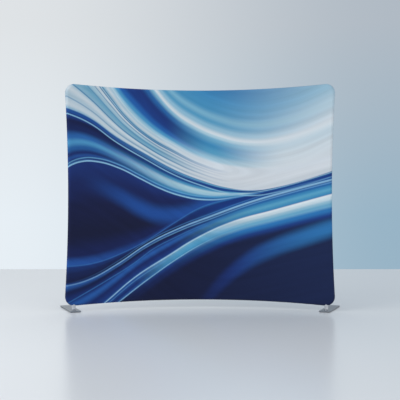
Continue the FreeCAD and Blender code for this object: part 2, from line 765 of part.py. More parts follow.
# A bridge over the slider holds the pull by a pin across the zip.
pull_way = rail.tangent(slider_middle)
bridge_corner = rail.point(slider_middle) + zip_out * (slider_high - S["bridge_root"])
bridge_corner -= pull_way * (0.5 * S["bridge_length"])
bridge_corner -= zip_out.cross(pull_way) * (0.5 * S["bridge_width"])
bridge = Part.makeBox(S["bridge_length"], S["bridge_width"], S["bridge_height"])
bridge.Placement = frame_at(bridge_corner, pull_way, zip_out)
pin_point = rail.point(slider_middle) + zip_out * (slider_high + S["pull_pin_rise"])
pin_hole = Part.makeCylinder(S["pull_pin_hole"], 2.0 * S["slider_width"],
                             pin_point - zip_across * S["slider_width"], zip_across)
slider = doc.addObject("Part::Feature", "zip_slider_node")
slider.Shape = body.cut(tunnel).fuse(bridge).cut(pin_hole).removeSplitter()
keep(slider, "zip_slider")

# The pull: two cheeks beside the bridge, a pin through it and a flat tab.
pull_pin = Part.makeCylinder(S["pull_pin_radius"], S["pull_width"],
                             pin_point - zip_across * (0.5 * S["pull_width"]), zip_across)
cheek_gap = S["bridge_width"] + S["pull_play"]
cheek_width = 0.5 * (S["pull_width"] - cheek_gap)
thick = S["pull_thickness"]
nose, slot = S["pull_nose"], S["pull_slot"]
cheek_length = nose + slot + S["pull_play"]


def pull_block(start, length, low_side, width):
    block = Part.makeBox(length, width, thick)
    origin = pin_point + pull_way * start + zip_across * low_side - zip_out * (0.5 * thick)
    block.Placement = FreeCAD.Placement(
        origin, FreeCAD.Rotation(pull_way, zip_across, pull_way.cross(zip_across), "XYZ"))
    return block


out_sign = 1.0 if pull_way.cross(zip_across).dot(zip_out) > 0 else -1.0
half_pull = 0.5 * S["pull_width"]
pull_blocks = [
    pull_block(-nose, cheek_length, -half_pull, cheek_width),
    pull_block(-nose, cheek_length, half_pull - cheek_width, cheek_width),
    pull_block(slot, S["pull_length"] - slot, -half_pull, S["pull_width"]),
]
if out_sign < 0:
    for block in pull_blocks:
        block.translate(zip_out * thick)
pull = doc.addObject("Part::Feature", "zip_pull_node")
pull.Shape = pull_blocks[0].multiFuse(pull_blocks[1:] + [pull_pin]).removeSplitter()
keep(pull, "zip_pull")

doc.recompute()
for obj in doc.Objects:
    if "Invalid" in obj.State or "Error" in obj.State:
        raise RuntimeError("not built: " + obj.Name)
os.makedirs("parts", exist_ok=True)
for obj in nodes:
    shape = obj.Shape
    if shape.isNull() or not shape.isValid():
        raise RuntimeError("bad shape: " + obj.Label)
    if len(shape.Solids) != 1:
        raise RuntimeError("%s has %d solids" % (obj.Label, len(shape.Solids)))
    shape.exportStep("parts/%s.step" % obj.Label)
print(len(nodes), "parts written")
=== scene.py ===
import bpy
import bmesh
import json
import math
import numpy as np
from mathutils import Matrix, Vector
from mathutils.bvhtree import BVHTree


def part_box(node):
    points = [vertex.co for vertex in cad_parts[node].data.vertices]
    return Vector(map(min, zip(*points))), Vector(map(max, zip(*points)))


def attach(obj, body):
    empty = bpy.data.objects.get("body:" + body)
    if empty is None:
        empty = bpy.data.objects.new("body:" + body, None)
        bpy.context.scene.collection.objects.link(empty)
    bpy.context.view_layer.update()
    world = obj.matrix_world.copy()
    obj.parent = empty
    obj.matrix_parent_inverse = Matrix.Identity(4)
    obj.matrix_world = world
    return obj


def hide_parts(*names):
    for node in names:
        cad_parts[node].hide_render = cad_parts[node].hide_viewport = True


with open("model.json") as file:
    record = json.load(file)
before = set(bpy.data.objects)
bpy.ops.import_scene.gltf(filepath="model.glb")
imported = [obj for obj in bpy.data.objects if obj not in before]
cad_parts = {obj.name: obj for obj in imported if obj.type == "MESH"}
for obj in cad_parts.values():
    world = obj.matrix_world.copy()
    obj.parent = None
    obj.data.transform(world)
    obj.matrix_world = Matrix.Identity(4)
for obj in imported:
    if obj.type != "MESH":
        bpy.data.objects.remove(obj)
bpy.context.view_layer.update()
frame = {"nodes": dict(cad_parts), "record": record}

# Outline of the wall. The tubes' centreline is worked out for one quarter, from the middle of
# the top rail to the middle of the left side, and the other quarters are its mirror images.
# The rails turn through HALF_TURN each side of the middle in a plane that dips by TILT towards
# the back, and the sides lean by LEAN at their ends. REACH is half the width between the tips
# where rail and side would cross, ELBOW the bend's radius, and CLOTH the way from the tube's
# centreline to the cover. TOP and LOW are the cover's heights in the middle of the wall.
POST_BEHIND = 0.026
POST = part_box("left_foot_post")
END_Y = (POST[0].y + POST[1].y) / 2 - POST_BEHIND
HALF_TURN, TILT, LEAN = (math.radians(a) for a in (23.7, 6.1, 3.45))
REACH, ELBOW, CLOTH = 1.341, 0.070, 0.0239
TOP, LOW = 2.300, 0.058
RAIL_POINTS, BEND_POINTS, SIDE_POINTS = 81, 17, 67
MIDDLE_Z = (TOP + LOW) / 2
bow_back = np.array([0, math.cos(TILT), -math.sin(TILT)])
along_rail = np.array([math.cos(HALF_TURN), 0, 0]) + math.sin(HALF_TURN) * bow_back
level = along_rail * [1, 1, 0] / np.linalg.norm(along_rail[:2])
along_side = math.sin(LEAN) * level - math.cos(LEAN) * np.array([0, 0, 1])
between = math.acos(along_rail @ along_side)
to_joint = ELBOW / math.tan(between / 2)
tip_z = TOP - CLOTH + to_joint * math.sin(HALF_TURN) * math.sin(TILT)
tip = np.array([-REACH, END_Y, tip_z])
rail_end, side_end = tip + along_rail * to_joint, tip + along_side * to_joint
inward = (along_rail + along_side) / np.linalg.norm(along_rail + along_side)
elbow_centre = tip + inward * ELBOW / math.sin(between / 2)
elbow_back = np.cross(along_rail, along_side)
elbow_back /= np.linalg.norm(elbow_back)


def turned(vectors, axis, angle):
    """Vectors turned about a unit axis, one angle each."""
    angle = np.atleast_1d(angle)[:, None]
    side = np.cross(axis, vectors) * np.sin(angle)
    return vectors * np.cos(angle) + side + axis * (vectors @ axis) * (1 - np.cos(angle))


def arc(start, tangent, to_centre, radius, angles):
    """Points of an arc, its tangents, and the back way carried along from the elbow."""
    to_centre = to_centre / np.linalg.norm(to_centre)
    axis = np.cross(-to_centre, tangent)
    points = start + to_centre * radius + turned(-to_centre * radius, axis, angles)
    return points, turned(tangent, axis, angles), turned(elbow_back, axis, angles)


rail_radius = -rail_end[0] / math.sin(HALF_TURN)
rail_in = math.sin(HALF_TURN) * np.array([1, 0, 0]) - math.cos(HALF_TURN) * bow_back
side_radius = (side_end[2] - MIDDLE_Z) / math.sin(LEAN)
side_out = -math.cos(LEAN) * level - math.sin(LEAN) * np.array([0, 0, 1])
bend = math.pi - between
rail = arc(rail_end, along_rail, rail_in, rail_radius, np.linspace(HALF_TURN, 0, RAIL_POINTS)[:-1])
corner = arc(rail_end, -along_rail, elbow_centre - rail_end, ELBOW, np.linspace(0, bend, BEND_POINTS))
side = arc(side_end, along_side, side_out, side_radius, np.linspace(0, LEAN, SIDE_POINTS)[1:])
quarter = [np.concatenate([rail[i] * (-1 if i == 1 else 1), corner[i], side[i]]) for i in range(3)]
path, ways, backs = quarter
outs = np.cross(backs, ways)
outs /= np.linalg.norm(outs, axis=1)[:, None]
outs *= np.sign((outs * (path - [0, 0, MIDDLE_Z])).sum(1))[:, None]
CORNER = len(rail[0]) + len(corner[0]) // 2

# Cover: a front and a back sheet of stretch fabric that meet in a seam on the outer middle of
# the tube. Each is rings round the tube and a patch between them, pulled slightly forwards.
FLIP_X, FLIP_Z = np.array([-1, 1, 1]), np.array([1, 1, -1])
POLE_REACH, WRAP_RINGS = 0.0175, 9


def edge_line(values, flip_offset):
    """The four edges of the wall from a quarter: top and bottom from left, sides from top."""
    left_top, left_side = values[:CORNER + 1][::-1], values[CORNER:]
    shift = np.array([0, 0, flip_offset])
    top = np.concatenate([left_top, (values[:CORNER] * FLIP_X)[1:], values[CORNER:CORNER + 1]
                          * FLIP_X])
    left = np.concatenate([left_side, (left_side[::-1] * FLIP_Z + shift)[1:]])
    return top, top * FLIP_Z + shift, left, left * FLIP_X


def round_loop(top, bottom, left, right):
    """The four edges joined into one closed line."""
    return np.concatenate([top[:-1], right[:-1], bottom[:0:-1], left[:0:-1]])


def meshed(name, points, faces, smooth=True):
    """A new piece from points and faces."""
    mesh = bpy.data.meshes.new(name)
    mesh.from_pydata(np.asarray(points).tolist(), [], np.asarray(faces).tolist())
    mesh.polygons.foreach_set("use_smooth", [smooth] * len(mesh.polygons))
    piece = bpy.data.objects.new(name, mesh)
    bpy.context.scene.collection.objects.link(piece)
    return piece


def cover_sheet(name, sign, pull):
    """sign is -1 for the front sheet and 1 for the back one. pull(x, z) brings it forwards."""
    wraps = np.radians(np.linspace(90, 0, WRAP_RINGS))
    layers = []
    for wrap in wraps:
        ring = path + CLOTH * (outs * math.cos(wrap) + sign * backs * math.sin(wrap))
        layers.append(edge_line(ring, 2 * MIDDLE_Z))
    top, bottom, left, right = layers[0]
    across, down = len(top), len(left)
    s = np.linspace(0, 1, across)[:, None, None]
    t = np.linspace(0, 1, down)[None, :, None]
    patch = (1 - t) * top[:, None] + t * bottom[:, None] + (1 - s) * left[None] + s * right[None]
    patch -= ((1 - s) * (1 - t) * top[0] + s * (1 - t) * top[-1] + (1 - s) * t * bottom[0]
              + s * t * bottom[-1])
    # Depth follows the rails' bow across the wall, with the edges' own depth blended in.
    sag = top[across // 2][1] - top[0][1]

    def bowed(p):
        return sag * (1 - (p[..., 0] / top[-1][0]) ** 2)

    off = [edge[:, 1] - bowed(edge) for edge in (top, bottom, left, right)]
    u, v = s[..., 0], t[..., 0]
    rest = (1 - v) * off[0][:, None] + v * off[1][:, None] + (1 - u) * off[2] + u * off[3]
    rest -= ((1 - u) * (1 - v) * off[0][0] + u * (1 - v) * off[0][-1] + (1 - u) * v * off[1][0]
             + u * v * off[1][-1])
    patch[..., 1] = bowed(patch) + rest - pull(patch[..., 0], patch[..., 2])
    if sign > 0:
        # The back sheet rests on the centre pole, and runs straight from it to the sides.
        over_pole = path[0][1] + POLE_REACH - patch[across // 2, :, 1]
        from_pole = np.hypot(patch[..., 0], POLE_REACH)
        patch[..., 1] += np.maximum(over_pole, 0) * np.clip(1 - from_pole / REACH, 0, 1)
    points = [patch.reshape(-1, 3)]
    grid = np.arange(across * down).reshape(across, down)
    loop = np.concatenate([grid[:-1, 0], grid[-1, :-1], grid[:0:-1, -1], grid[0, :0:-1]])
    quads = np.stack([grid[:-1, :-1], grid[1:, :-1], grid[1:, 1:], grid[:-1, 1:]], -1)
    quads = [quads.reshape(-1, 4)]
    for i, edges in enumerate(layers[1:]):
        points.append(round_loop(*edges))
        outer = across * down + i * len(loop) + np.arange(len(loop))
        quads.append(np.stack([np.roll(loop, -1), loop, outer, np.roll(outer, -1)], -1))
        loop = outer
    points, quads = np.concatenate(points), np.concatenate(quads)
    if sign < 0:
        quads = quads[:, ::-1]
    return meshed(name, points, quads), points[loop]


PULL_HIGH = 1.05


def swell(offset, reach):
    """1 where offset is 0, easing to 0 at reach and past it."""
    return np.clip(1 - (offset / reach) ** 2, 0, 1) ** 2


def front_pull(x, z):
    """The front sheet's pull: one swell in the middle of the wall."""
    return 0.030 * swell(x, 1.30) * swell(z - MIDDLE_Z, PULL_HIGH)


def back_pull(x, z):
    """The back sheet's pull: a swell each side of the centre pole."""
    return 0.020 * swell(np.abs(x) - 0.65, 0.60) * swell(z - MIDDLE_Z, PULL_HIGH)


cover_front, seam_line = cover_sheet("fabric_front", -1, front_pull)
cover_back, _ = cover_sheet("fabric_back", 1, back_pull)
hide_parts("cover_front", "cover_edge")
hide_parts("cover_back")

# Openings for the posts: a round hole in the lower edge of the cover at each foot, where the
# front and back sheets meet, cut round the post with a little room.
OPENING, ROUND_POST, SNAP = 0.0205, 0.030, 0.0025
FINE_EDGE, LOWEST_PART, FAR, PROBE = 0.0016, 0.13, 1.0, 0.12
posts = [Vector((sum(c.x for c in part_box(n)) / 2, sum(c.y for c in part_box(n)) / 2, 0))
         for n in ("left_foot_post", "right_foot_post")]
uncut = [BVHTree.FromObject(sheet, bpy.context.evaluated_depsgraph_get())
         for sheet in (cover_front, cover_back)]


def under_cover(x, y):
    """The cover's lowest point over a place on the floor."""
    hits = [tree.ray_cast(Vector((x, y, 0)), Vector((0, 0, 1)), PROBE)[0] for tree in uncut]
    return min(hit.z for hit in hits if hit is not None)


def open_for_posts(sheet):
    """Cuts a round hole in a sheet at each post, with its rim drawn onto the circle."""
    mesh = bmesh.new()
    mesh.from_mesh(sheet.data)
    for post in posts:
        def reach(p):
            if p.z >= LOWEST_PART:
                return FAR
            return math.hypot(p.x - post.x, p.y - post.y)

        for _ in range(3):
            near = [e for e in mesh.edges
                    if reach((e.verts[0].co + e.verts[1].co) / 2) < ROUND_POST
                    and e.calc_length() > FINE_EDGE]
            bmesh.ops.subdivide_edges(mesh, edges=near, cuts=1, use_grid_fill=True)
        inside = [f for f in mesh.faces if reach(f.calc_center_median()) < OPENING]
        bmesh.ops.delete(mesh, geom=inside, context="FACES")
        for vert in mesh.verts:
            if vert.is_boundary and abs(reach(vert.co) - OPENING) < SNAP:
                way = Vector((vert.co.x - post.x, vert.co.y - post.y, 0)).normalized()
                vert.co.x, vert.co.y = (post + way * OPENING)[:2]
    mesh.to_mesh(sheet.data)
    mesh.free()


for sheet in (cover_front, cover_back):
    open_for_posts(sheet)

# Seam: the front and back sheets are overlocked together all round, in a thin rib of cloth with
# thread over it, and each post opening has a rolled hem.
def piped(name, line, radius, closed=True, sides=8):
    """A round rib along a line of points."""
    line = np.asarray(line)
    count = len(line)
    way = np.roll(line, -1, 0) - np.roll(line, 1, 0)
    if not closed:
        way[0], way[-1] = line[1] - line[0], line[-1] - line[-2]
    way /= np.linalg.norm(way, axis=1)[:, None]
    first = np.cross(way, [0, 1, 0])
    first /= np.linalg.norm(first, axis=1)[:, None]
    second = np.cross(way, first)
    turn = np.arange(sides) * 2 * math.pi / sides
    rings = line[:, None] + radius * (first[:, None] * np.cos(turn)[:, None]
                                      + second[:, None] * np.sin(turn)[:, None])
    grid = np.arange(count * sides).reshape(count, sides)
    after = np.roll(grid, -1, 0) if closed else grid[1:]
    grid = grid if closed else grid[:-1]
    faces = np.stack([grid, np.roll(grid, -1, 1), np.roll(after, -1, 1), after], -1)
    return meshed(name, rings.reshape(-1, 3), faces.reshape(-1, 4))


centre_line = round_loop(*edge_line(path, 2 * MIDDLE_Z))
seam_out = seam_line - centre_line
seam_out /= np.linalg.norm(seam_out, axis=1)[:, None]
HIGH_ABOVE, WELT_RADIUS, WELT_LIFT = 0.2, 0.0014, 0.0004
clear = np.array([min(math.hypot(p[0] - q.x, p[1] - q.y) for q in posts) > OPENING
                  or p[2] > HIGH_ABOVE for p in seam_line])
start = int(np.argmin(clear))
turned_line = np.roll(seam_line + seam_out * WELT_LIFT, -start, 0)
turned_clear = np.roll(clear, -start)
stretches, current = [], []
for point, keep in zip(turned_line, turned_clear):
    if keep:
        current.append(point)
    elif current:
        stretches.append(current)
        current = []
if current:
    stretches.append(current)
welts = [piped("seam_welt_%d" % (i + 1), line, WELT_RADIUS, closed=False)
         for i, line in enumerate(stretches)]

HEM_REACH, HEM_RADIUS, HEM_DROP, HEM_STEPS = OPENING + 0.0006, 0.0015, 0.0002, 48
hems = []
for side_name, post in zip(("left", "right"), posts):
    ring = []
    for step in range(HEM_STEPS):
        turn = 2 * math.pi * step / HEM_STEPS
        x = post.x + HEM_REACH * math.cos(turn)
        y = post.y + HEM_REACH * math.sin(turn)
        ring.append((x, y, under_cover(x, y) - HEM_DROP))
    hems.append(piped("post_hem_" + side_name, ring, HEM_RADIUS))


def stitched(name, line, out, along_run, gap, width, height):
    """A row of stitches: short raised bars of thread set along a line of points."""
    line, out = np.asarray(line), np.asarray(out)
    step = np.linalg.norm(np.diff(line, axis=0), axis=1)
    run = np.concatenate([[0], np.cumsum(step)])
    starts = np.arange(0, run[-1] - along_run, along_run + gap)
    points, faces = [], []
    for i, begin in enumerate(starts):
        ends = [np.array([np.interp(at, run, line[:, k]) for k in range(3)])
                for at in (begin, begin + along_run)]
        up = np.array([np.interp(begin, run, out[:, k]) for k in range(3)])
        across = np.cross(ends[1] - ends[0], up)
        across *= width / 2 / np.linalg.norm(across)
        for end in ends:
            points += [end - across, end + across, end + across * 0.6 + up * height,
                       end - across * 0.6 + up * height]
        base = i * 8
        faces += [[base + a, base + b, base + b + 4, base + a + 4]
                  for a, b in ((0, 1), (1, 2), (2, 3), (3, 0))]
        faces += [[base + 3, base + 2, base + 1, base], [base + 4, base + 5, base + 6, base + 7]]
    return meshed(name, points, faces, smooth=False)


THREAD_LIFT = 0.0016
lifted = seam_line + seam_out * THREAD_LIFT
threads = [stitched("seam_thread", lifted[clear], seam_out[clear], 0.005, 0.002, 0.0012, 0.0006)]

# Print on the cover: light and dark blue waves that cross the wall, set out on its width and
# height. Each wave's line is a curve of height over width, and its edge is hard or soft.
# The cloth is a knitted polyester, printed by heat, so it is matt with a faint sheen.
def linear(code):
    """An sRGB hex colour as the linear RGBA that a shader wants."""
    parts = [int(code[i:i + 2], 16) / 255 for i in (0, 2, 4)]
    return tuple(c / 12.92 if c <= 0.04045 else ((c + 0.055) / 1.055) ** 2.4 for c in parts) + (1,)


def add(tree, kind, inputs=None, **settings):
    """Adds a shader node. inputs maps a socket to a value or to another node's output."""
    node = tree.nodes.new("ShaderNode" + kind)
    for name, value in settings.items():
        setattr(node, name, value)
    for key, value in (inputs or {}).items():
        if isinstance(value, bpy.types.NodeSocket):
            tree.links.new(value, node.inputs[key])
        else:
            node.inputs[key].default_value = value
    return node


def surface(name, code, roughness, **sockets):
    """A material of one real stuff, with its Principled node's own sockets set."""
    material = bpy.data.materials.new(name)
    material.use_nodes = True
    shader = material.node_tree.nodes["Principled BSDF"]
    shader.inputs["Base Color"].default_value = linear(code)
    shader.inputs["Roughness"].default_value = roughness
    for key, value in sockets.items():
        shader.inputs[key.replace("_", " ")].default_value = value
    return material, material.node_tree, shader


print_cloth, tree, shader = surface(
    "printed_knit_polyester", "1a2140", 0.75, Sheen_Weight=0.04, Sheen_Roughness=0.5,
    Specular_IOR_Level=0.2)
place = add(tree, "TexCoord").outputs["Object"]
split = add(tree, "SeparateXYZ", {0: place})
PRINT_HALF, PRINT_LOW, PRINT_TOP = 1.34, 0.06, 2.30
width = add(tree, "MapRange", {0: split.outputs["X"], 1: -PRINT_HALF, 2: PRINT_HALF})
height = add(tree, "MapRange", {0: split.outputs["Z"], 1: PRINT_LOW, 2: PRINT_TOP})
width, height = width.outputs[0], height.outputs[0]


# A curve holds heights as base + span * height, so that points off the wall stay on it.
CURVE_BASE, CURVE_SPAN = 0.1, 0.8


def above(line):
    """Height over a wave's line, which is (share of width, share of height) points."""
    curve = add(tree, "FloatCurve", {"Value": width})
    points = curve.mapping.curves[0].points
    for i, (u, v) in enumerate(line):
        point = points[i] if i in (0, 1) else points.new(u, v)
        point.location = (u, CURVE_BASE + CURVE_SPAN * v)
    curve.mapping.use_clip = False
    curve.mapping.update()
    based = add(tree, "Math", {0: curve.outputs[0], 1: CURVE_BASE}, operation="SUBTRACT")
    scaled = add(tree, "Math", {0: based.outputs[0], 1: CURVE_SPAN}, operation="DIVIDE")
    return add(tree, "Math", {0: height, 1: scaled.outputs[0]}, operation="SUBTRACT").outputs[0]


def ramp(value, low, high):
    """0 below low, 1 above high, smooth between."""
    node = add(tree, "MapRange", {0: value, 1: low, 2: high}, interpolation_type="SMOOTHSTEP")
    return node.outputs[0]


def streak(over, half, soft):
    """1 on a line of that half width, fading out over soft."""
    size = add(tree, "Math", {0: over}, operation="ABSOLUTE").outputs[0]
    return add(tree, "MapRange", {0: size, 1: half, 2: half + soft, 3: 1.0, 4: 0.0},
               interpolation_type="SMOOTHSTEP").outputs[0]


def times(a, b):
    """The product of two values."""
    return add(tree, "Math", {0: a, 1: b}, operation="MULTIPLY").outputs[0]


def paint(under, over, mask):
    """One colour laid over another where mask is 1."""
    colour = [linear(c) if isinstance(c, str) else c for c in (under, over)]
    return add(tree, "Mix", {0: mask, 6: colour[0], 7: colour[1]}, data_type="RGBA").outputs[2]


def strands(value, stops):
    """A colour over a share from 0 to 1: (place, hex colour) stops with smooth blends."""
    node = add(tree, "ValToRGB", {0: value})
    node.color_ramp.interpolation = "EASE"
    marks = node.color_ramp.elements
    for i, (at, code) in enumerate(stops):
        mark = marks[i] if i in (0, 1) else marks.new(at)
        mark.position = at
        mark.color = linear(code)
    return node.outputs[0]


def share(under, over):
    """0 on the wave that under is measured from, 1 on the wave above it."""
    gap = add(tree, "Math", {0: under, 1: over}, operation="SUBTRACT").outputs[0]
    gap = add(tree, "Math", {0: gap, 1: 0.004}, operation="MAXIMUM").outputs[0]
    return add(tree, "Math", {0: under, 1: gap}, operation="DIVIDE").outputs[0]


# Each wave's line, from the lowest to the highest.
streak_low = above([(0.42, -0.12), (0.50, -0.02), (0.58, 0.09), (0.68, 0.19), (0.79, 0.26),
                    (0.90, 0.31), (1.0, 0.355)])
strand_foot = above([(0.05, -0.12), (0.18, 0.00), (0.30, 0.11), (0.42, 0.21), (0.52, 0.28),
                     (0.64, 0.342), (0.79, 0.391), (1.0, 0.458)])
strand = above([(0.0, -0.12), (0.13, 0.00), (0.25, 0.12), (0.38, 0.22), (0.48, 0.295), (0.62, 0.374),
                (0.79, 0.433), (1.0, 0.505)])
soft_fold = above([(0.0, 0.01), (0.16, 0.12), (0.24, 0.18), (0.32, 0.25), (0.40, 0.30), (0.52, 0.365),
                   (0.70, 0.44), (1.0, 0.54)])
fold = above([(0.0, 0.09), (0.08, 0.115), (0.18, 0.18), (0.30, 0.275), (0.42, 0.345), (0.54, 0.40),
              (0.70, 0.47), (0.85, 0.522), (1.0, 0.57)])
fold_top = above([(0.0, 0.178), (0.10, 0.19), (0.20, 0.232), (0.30, 0.293), (0.40, 0.37),
                  (0.50, 0.44), (0.60, 0.478), (0.72, 0.508), (0.85, 0.55), (1.0, 0.61)])
glow = above([(0.0, 0.60), (0.10, 0.55), (0.19, 0.495), (0.27, 0.44), (0.34, 0.41), (0.44, 0.415),
              (0.56, 0.47), (1.0, 0.60)])
thin = above([(0.0, 0.62), (0.05, 0.647), (0.11, 0.648), (0.19, 0.62), (0.27, 0.572), (0.34, 0.53),
              (0.42, 0.495), (0.52, 0.475), (0.64, 0.488), (1.0, 0.60)])
low_edge = above([(0.0, 0.89), (0.08, 0.85), (0.18, 0.765), (0.28, 0.695), (0.40, 0.617),
                  (0.50, 0.57), (0.60, 0.535), (0.70, 0.521), (0.80, 0.537), (1.0, 0.608)])
high_edge = above([(0.0, 1.3), (0.10, 1.10), (0.16, 0.99), (0.22, 0.89), (0.30, 0.80), (0.40, 0.73),
                   (0.50, 0.668), (0.62, 0.628), (0.78, 0.62), (1.0, 0.68)])
sky_edge = above([(0.0, 1.4), (0.24, 1.14), (0.33, 0.985), (0.40, 0.89), (0.47, 0.832), (0.57, 0.778),
                  (0.68, 0.747), (0.80, 0.755), (1.0, 0.838)])
right_half = ramp(width, 0.34, 0.66)

# The dark lower field, with a broad soft streak low on the right.
colour = paint("151c3e", "1a2850", ramp(width, 0.3, 1.0))
low_blue = paint("1e3a84", "3079b6", ramp(width, 0.58, 1.0))
colour = paint(colour, low_blue, times(streak(streak_low, 0.010, 0.052), ramp(width, 0.44, 0.72)))

# The bright strand: a blue glow under it, a pale band that widens to the right, two pale lines.
under = add(tree, "MapRange", {0: strand_foot, 1: -0.075, 2: 0.0}).outputs[0]
left_glow = strands(under, [(0.0, "151d42"), (1.0, "22468e"), (0.55, "182a60")])
right_glow = strands(under, [(0.0, "1c2f68"), (1.0, "7fbbd8"), (0.35, "1f4590"), (0.72, "2f7cbc")])
colour = paint(colour, paint(left_glow, right_glow, ramp(width, 0.36, 0.72)),
               times(ramp(strand_foot, -0.075, -0.035), ramp(width, 0.16, 0.40)))
band = share(strand_foot, strand)
left_band = strands(band, [(0.0, "2c5fa8"), (1.0, "2f66ae"), (0.35, "1b3474"), (0.70, "234a92")])
mid_band = strands(band, [(0.0, "3f93c6"), (1.0, "cfe6ee"), (0.35, "58a8d0"), (0.80, "6fb4d4")])
right_band = strands(band, [(0.0, "6fb4d6"), (1.0, "eef3f5"), (0.30, "9ccade"), (0.62, "d4e5ec")])
left_band = paint(left_band, mid_band, ramp(width, 0.24, 0.44))
colour = paint(colour, paint(left_band, right_band, ramp(width, 0.48, 0.72)),
               ramp(strand_foot, -0.010, 0.006))

# The climbing folds between the strand and the fold line, navy on the left and teal on the right.
climb = share(strand, fold)
left_folds = strands(climb, [
    (0.0, "3a76ba"), (1.0, "2d60aa"), (0.10, "1d3b80"), (0.30, "1a2f6c"), (0.52, "2b61ac"),
    (0.66, "1c3576"), (0.84, "142250")])
right_folds = strands(climb, [
    (0.0, "2a6fae"), (1.0, "9ccbe0"), (0.10, "4594c2"), (0.34, "62aed0"), (0.56, "3f8fc0"),
    (0.72, "2a6cac"), (0.86, "1f569c")])
colour = paint(colour, paint(left_folds, right_folds, ramp(width, 0.38, 0.74)),
               ramp(strand, -0.003, 0.004))
crest = share(fold, fold_top)
left_crest = strands(crest, [
    (0.0, "24509a"), (1.0, "20448c"), (0.16, "151f48"), (0.55, "172656"), (0.85, "1b3570")])
right_crest = strands(crest, [
    (0.0, "7fb8d8"), (1.0, "2e78b8"), (0.14, "1d5aa2"), (0.45, "153c86"), (0.80, "163a80")])
colour = paint(colour, paint(left_crest, right_crest, right_half), ramp(fold, -0.003, 0.004))

# The navy field on the left between the folds and the thin line, with a glow across it.
navy = strands(share(fold_top, thin), [
    (0.0, "1f4288"), (1.0, "1c3474"), (0.10, "182456"), (0.30, "151b3c"), (0.55, "161d44"),
    (0.78, "18265a")])
navy = paint(navy, "285aa8", times(streak(fold_top, 0.004, 0.045), ramp(width, 0.30, 0.0)))
navy = paint(navy, "2459ac", times(streak(glow, 0.004, 0.060), times(ramp(width, 0.02, 0.30), 0.8)))
colour = paint(colour, navy, ramp(fold_top, -0.004, 0.006))

# The bands between the thin line and the pale ribbon, brighter towards the middle of the wall.
layer = share(thin, low_edge)
left_bands = strands(layer, [
    (0.0, "4f92c8"), (1.0, "1f5298"), (0.07, "1b3474"), (0.14, "244f94"), (0.20, "192f6a"),
    (0.30, "27609f"), (0.42, "4f98c6"), (0.52, "2b66aa"), (0.66, "16285c"), (0.80, "141f4c"),
    (0.88, "1b3a7c")])
right_bands = strands(layer, [
    (0.0, "6fb2d4"), (1.0, "1d6aa8"), (0.10, "2a6cac"), (0.20, "4a9ac6"), (0.34, "a6d0e0"),
    (0.48, "b9dae4"), (0.60, "4f9cc6"), (0.72, "1b4c92"), (0.84, "1a3f86"), (0.93, "6fb2d4")])
colour = paint(colour, paint(left_bands, right_bands, ramp(width, 0.08, 0.50)),
               ramp(thin, -0.003, 0.004))

# The pale ribbon, streaked along its length, and calmer towards the right.
across = share(low_edge, high_edge)
ribbon = strands(across, [
    (0.0, "8fbbd4"), (1.0, "a9cbdb"), (0.05, "cfdbe2"), (0.16, "b4cad6"), (0.24, "d3dde3"),
    (0.34, "8ab6cc"), (0.44, "74abc6"), (0.54, "aac8d6"), (0.66, "d0dbe1"), (0.78, "94bccf"),
    (0.88, "cfdae1")])
ribbon = paint(ribbon, strands(across, [
    (0.0, "e6eaed"), (1.0, "dfe5ea"), (0.06, "dde3e8"), (0.5, "e2e6ea")]), ramp(width, 0.30, 0.56))
colour = paint(colour, ribbon, ramp(low_edge, -0.003, 0.003))

# The deep band over the ribbon, which turns to sky blue and then pales to the right.
across = share(high_edge, sky_edge)
deep = strands(across, [
    (0.0, "dbe4ea"), (1.0, "dfe7ec"), (0.05, "a4cddf"), (0.13, "4f9cc8"), (0.24, "2260aa"),
    (0.38, "1a3c82"), (0.58, "1a377a"), (0.76, "2766a6"), (0.90, "84b9d3")])
sky = strands(across, [
    (0.0, "dfe6eb"), (1.0, "e0e8ed"), (0.14, "a9cfdf"), (0.36, "5ba6cb"), (0.58, "4393c1"),
    (0.80, "74b2d0"), (0.92, "b7d5e2")])
calm = strands(across, [(0.0, "e0e6ea"), (1.0, "e2e9ed"), (0.40, "dbe4e9"), (0.75, "cfdfe7")])
deep = paint(deep, sky, ramp(width, 0.36, 0.56))
colour = paint(colour, paint(deep, calm, ramp(width, 0.54, 0.84)), ramp(high_edge, -0.006, 0.010))
field = add(tree, "MapRange", {0: sky_edge, 1: 0.0, 2: 0.24}).outputs[0]
left_field = strands(field, [
    (0.0, "dfe8ed"), (1.0, "2f7cb4"), (0.10, "98c3d8"), (0.22, "5aa2c8"), (0.32, "80b8d2"),
    (0.46, "4a96c2")])
right_field = strands(field, [(0.0, "dfe6eb"), (1.0, "9fc2d4"), (0.35, "c2d7e1"), (0.70, "a3c6d7")])
colour = paint(colour, paint(left_field, right_field, ramp(width, 0.50, 1.08)),
               ramp(sky_edge, -0.008, 0.010))

